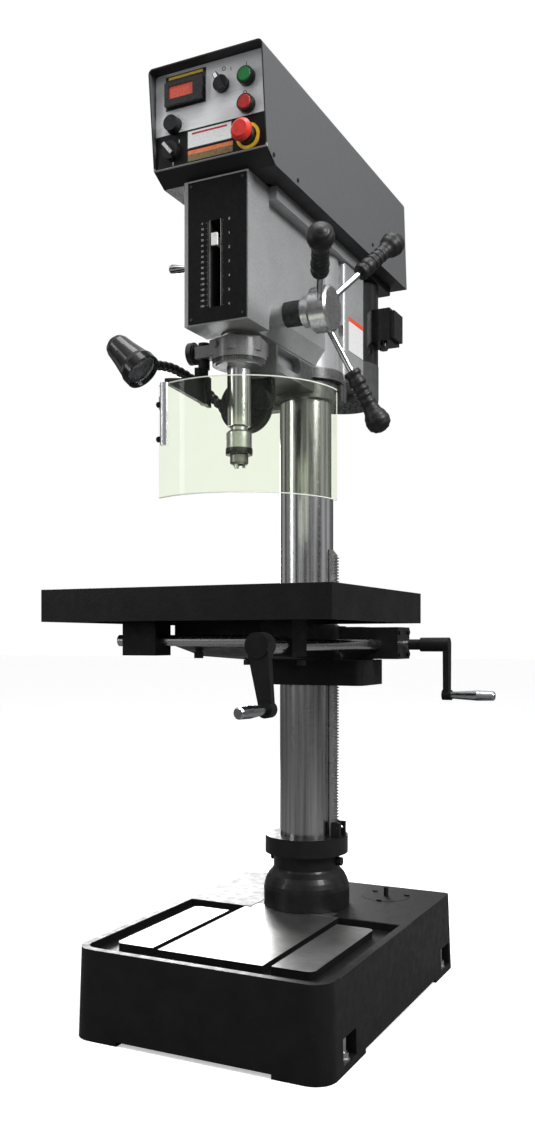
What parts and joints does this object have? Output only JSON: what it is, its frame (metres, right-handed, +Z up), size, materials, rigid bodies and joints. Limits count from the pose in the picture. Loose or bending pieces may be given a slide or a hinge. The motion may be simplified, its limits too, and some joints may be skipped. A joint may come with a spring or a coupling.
{
  "type": "drill press",
  "caption": "Floor-standing drill press: cast base, round column, crank-raised table, geared feed head with belt hood, keyed chuck, clear guard and work lamp.",
  "frame": {"origin": "on the floor, on the axis of the round column", "axes": "+Z up along the column, -Y towards the operator, +X towards the feed handles"},
  "size_m": [0.6893, 0.9933, 1.7695],
  "materials": {
    "black_cast": "satin black enamel on cast iron",
    "foot_paint": "satin black enamel on cast iron",
    "hammer_grey": "grey hammertone enamel on cast iron",
    "hood_black": "fine-textured satin black powder coat",
    "ground_steel": "ground and polished steel",
    "steel": "machined steel",
    "zinc": "zinc-plated steel",
    "black_oxide": "blackened steel",
    "crank_black": "black enamelled cast iron",
    "chrome": "polished chrome",
    "grip_black": "moulded black plastic",
    "knob_black": "black plastic",
    "panel": "brushed silver overlay, black lower band",
    "display": "black housing, orange-red window",
    "green": "green plastic",
    "red": "red plastic",
    "plates": "yellow ring and printed plates",
    "scale": "black plate with white graduations",
    "pointer": "white plastic",
    "motor_black": "gloss black enamel",
    "motor_grey": "grey enamel",
    "rubber": "black rubber belt",
    "lamp_black": "satin black enamel",
    "lens": "clear lens",
    "shield": "clear polycarbonate, faint yellow-green tint",
    "strip": "satin aluminium"
  },
  "bodies": {
    "stand_and_head": {"base_casting": "black_cast", "anchor_bolts": "zinc", "sump_cover": "black_cast", "column_foot": "foot_paint", "column": "ground_steel", "head_casting": "hammer_grey", "head_screws": "black_oxide", "scale_plate": "scale", "hood": "hood_black", "control_panel": "panel", "display": "display", "panel_plates": "plates", "motor_body": "motor_black", "fan_cover": "motor_grey", "junction_box": "motor_black", "drive_belt": "rubber", "lamp_base": "lamp_black", "lamp_neck": "lamp_black"},
    "rack_ring": {"rack": "steel", "rack_collar": "foot_paint"},
    "table_carriage": {"table_bracket": "black_cast", "table": "black_cast", "table_bolts": "steel", "cross_rod": "ground_steel", "gearbox_housing": "foot_paint"},
    "clamp": {"clamp_lever": "crank_black"},
    "worm": {"worm_shaft": "steel", "right_crank": "crank_black"},
    "right_grip": {"right_handle": "chrome"},
    "lift_pinion": {"pinion_shaft": "steel"},
    "front_drive": {"front_shaft": "ground_steel", "front_crank": "crank_black"},
    "front_grip": {"front_handle": "chrome"},
    "feed": {"feed_shaft": "steel", "feed_dial": "black_oxide", "feed_hub": "ground_steel", "feed_arms": "chrome", "feed_grips": "grip_black"},
    "quill_unit": {"quill": "ground_steel", "quill_bearings": "steel", "depth_collar": "hammer_grey", "depth_pointer": "pointer"},
    "spindle_unit": {"spindle": "steel", "chuck_body": "steel"},
    "chuck_key_sleeve": {"chuck_sleeve": "black_oxide", "chuck_jaws": "steel"},
    "quill_lock_screw": {"quill_lock": "black_oxide"},
    "selector": {"selector_knob": "knob_black"},
    "speed": {"speed_knob": "knob_black"},
    "key": {"key_switch": "knob_black"},
    "start": {"start_button": "green"},
    "stop": {"stop_button": "red"},
    "estop": {"estop_button": "red"},
    "motor_rotor": {"motor_pulley": "steel"},
    "spindle_drive": {"spindle_pulley": "steel"},
    "lamp": {"lamp_head": "lamp_black", "lamp_lens": "lens"},
    "guard": {"guard_shield": "shield", "guard_strip": "strip", "guard_arm": "lamp_black"}
  },
  "joints": [
    {"name": "table_swing", "type": "hinge", "parent": "stand_and_head", "child": "rack_ring", "pos_m": [0, 0, 0.3], "axis": [0, 0, 1], "range_deg": [-180, 180]},
    {"name": "table_lift", "type": "slide", "parent": "rack_ring", "child": "table_carriage", "axis": [0, 0, -1], "range_m": [-0.15, 0.29]},
    {"name": "lift_crank", "type": "hinge", "parent": "table_carriage", "child": "worm", "pos_m": [0.2, 0.018, 0.723], "axis": [1, 0, 0], "range_deg": [-4912.07, 9495.73]},
    {"name": "lift_pinion_spin", "type": "hinge", "parent": "table_carriage", "child": "lift_pinion", "pos_m": [0.0834, 0, 0.697], "axis": [0, 1, 0], "range_deg": [-614.88, 1187.84]},
    {"name": "front_crank_spin", "type": "hinge", "parent": "table_carriage", "child": "front_drive", "pos_m": [0.17, -0.3, 0.723], "axis": [0, -1, 0], "range_deg": [-4912.07, 9495.73]},
    {"name": "right_handle_spin", "type": "hinge", "parent": "worm", "child": "right_grip", "pos_m": [0.35, 0.018, 0.62], "axis": [1, 0, 0], "continuous": true},
    {"name": "front_handle_spin", "type": "hinge", "parent": "front_drive", "child": "front_grip", "pos_m": [0.185, -0.6, 0.621], "axis": [0, 1, 0], "continuous": true},
    {"name": "table_clamp", "type": "hinge", "parent": "table_carriage", "child": "clamp", "pos_m": [-0.034, 0.09, 0.665], "axis": [0, 1, 0], "range_deg": [-60, 60]},
    {"name": "feed_turn", "type": "hinge", "parent": "stand_and_head", "child": "feed", "pos_m": [0.1, -0.277, 1.344], "axis": [1, 0, 0], "range_deg": [0, 450.18], "stiffness_Nm_per_rad": 0.15, "springref_deg": -687.55},
    {"name": "quill_slide", "type": "slide", "parent": "stand_and_head", "child": "quill_unit", "axis": [0, 0, -1], "range_m": [-0.0005, 0.1105]},
    {"name": "spindle_spin", "type": "hinge", "parent": "quill_unit", "child": "spindle_unit", "pos_m": [0, -0.312, 1.1], "axis": [0, 0, 1], "continuous": true},
    {"name": "chuck_sleeve_turn", "type": "hinge", "parent": "spindle_unit", "child": "chuck_key_sleeve", "pos_m": [0, -0.312, 1.08], "axis": [0, 0, 1], "continuous": true},
    {"name": "spindle_pulley_spin", "type": "hinge", "parent": "stand_and_head", "child": "spindle_drive", "pos_m": [0, -0.312, 1.62], "axis": [0, 0, 1], "continuous": true},
    {"name": "motor_spin", "type": "hinge", "parent": "stand_and_head", "child": "motor_rotor", "pos_m": [0, 0.22, 1.62], "axis": [0, 0, 1], "continuous": true},
    {"name": "quill_lock_turn", "type": "hinge", "parent": "stand_and_head", "child": "quill_lock_screw", "pos_m": [-0.07, -0.354, 1.428], "axis": [1, 0, 0], "range_deg": [-60, 40]},
    {"name": "selector_turn", "type": "hinge", "parent": "stand_and_head", "child": "selector", "pos_m": [0.0257, -0.4245, 1.7192], "axis": [0, -1, 0], "range_deg": [-45, 45]},
    {"name": "speed_turn", "type": "hinge", "parent": "stand_and_head", "child": "speed", "pos_m": [-0.0737, -0.4245, 1.668], "axis": [0, -1, 0], "range_deg": [-150, 150]},
    {"name": "key_turn", "type": "hinge", "parent": "stand_and_head", "child": "key", "pos_m": [-0.0784, -0.4245, 1.6223], "axis": [0, -1, 0], "range_deg": [-45, 45]},
    {"name": "start_press", "type": "slide", "parent": "stand_and_head", "child": "start", "axis": [0, 1, 0], "range_m": [0, 0.002], "stiffness_N_per_m": 400, "springref_m": -0.002},
    {"name": "stop_press", "type": "slide", "parent": "stand_and_head", "child": "stop", "axis": [0, 1, 0], "range_m": [0, 0.002], "stiffness_N_per_m": 400, "springref_m": -0.002},
    {"name": "estop_press", "type": "slide", "parent": "stand_and_head", "child": "estop", "axis": [0, 1, 0], "range_m": [0, 0.005]},
    {"name": "lamp_tilt", "type": "hinge", "parent": "stand_and_head", "child": "lamp", "pos_m": [-0.175, -0.39, 1.262], "axis": [0, 1, 0], "range_deg": [-20, 20]},
    {"name": "guard_swing", "type": "hinge", "parent": "quill_unit", "child": "guard", "pos_m": [-0.076, -0.312, 1.2], "axis": [0, 0, -1], "range_deg": [0, 90]}
  ],
  "couplings": [
    {"joint": "lift_crank", "follows": "table_lift", "rad_per_m": 571.43},
    {"joint": "lift_pinion_spin", "follows": "table_lift", "rad_per_m": 71.429},
    {"joint": "front_crank_spin", "follows": "table_lift", "rad_per_m": 571.43},
    {"joint": "quill_slide", "follows": "feed_turn", "m_per_rad": 0.014},
    {"joint": "motor_spin", "follows": "spindle_pulley_spin", "ratio": 1.7143},
    {"joint": "spindle_spin", "follows": "spindle_pulley_spin", "ratio": 1}
  ]
}
